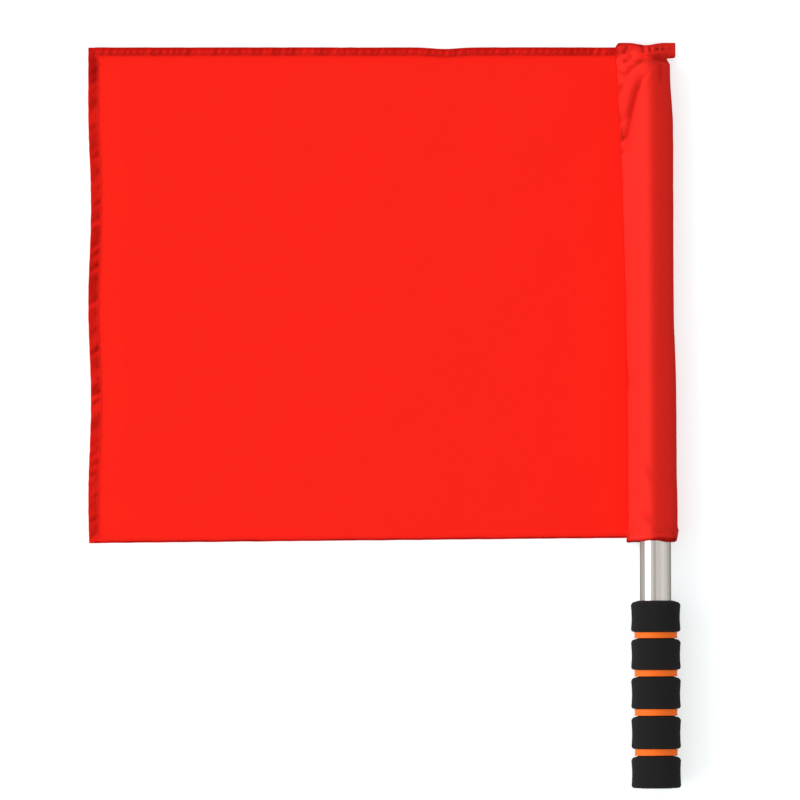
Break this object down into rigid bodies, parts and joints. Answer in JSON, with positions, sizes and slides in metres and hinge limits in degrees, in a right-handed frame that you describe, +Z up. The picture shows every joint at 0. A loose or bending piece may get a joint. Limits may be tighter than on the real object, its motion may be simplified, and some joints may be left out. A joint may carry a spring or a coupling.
{
  "type": "linesman flag",
  "caption": "Hand-held signal flag: a red cloth panel sewn to a closed pocket that turns freely on a steel pole with a banded foam grip.",
  "frame": {"origin": "on the surface the flag lies on, below the middle of its bounding box", "axes": "+Z up from that surface; +Y along the pole from the grip's butt to the closed end of the pocket; the panel lies towards -X"},
  "size_m": [0.4188, 0.527, 0.0367],
  "materials": {
    "pole_steel": "polished",
    "grip_foam": "matt closed-cell foam",
    "grip_orange": "satin",
    "plug_black": "moulded",
    "flag_cloth": "plain-woven polyester"
  },
  "bodies": {
    "stick": {"pole_tube": "pole_steel", "top_plug": "plug_black", "butt_plug": "plug_black", "foam_sleeve_1": "grip_foam", "foam_sleeve_2": "grip_foam", "foam_sleeve_3": "grip_foam", "foam_sleeve_4": "grip_foam", "foam_sleeve_5": "grip_foam", "grip_ring_1": "grip_orange", "grip_ring_2": "grip_orange", "grip_ring_3": "grip_orange", "grip_ring_4": "grip_orange"},
    "flag": {"flag_panel": "flag_cloth", "pole_sleeve": "flag_cloth"}
  },
  "joints": [
    {"name": "flag_turn", "type": "hinge", "parent": "stick", "child": "flag", "pos_m": [0.19055, 0.08714, 0.01423], "axis": [-0.0042, 0.9999, -0.0145], "continuous": true}
  ]
}
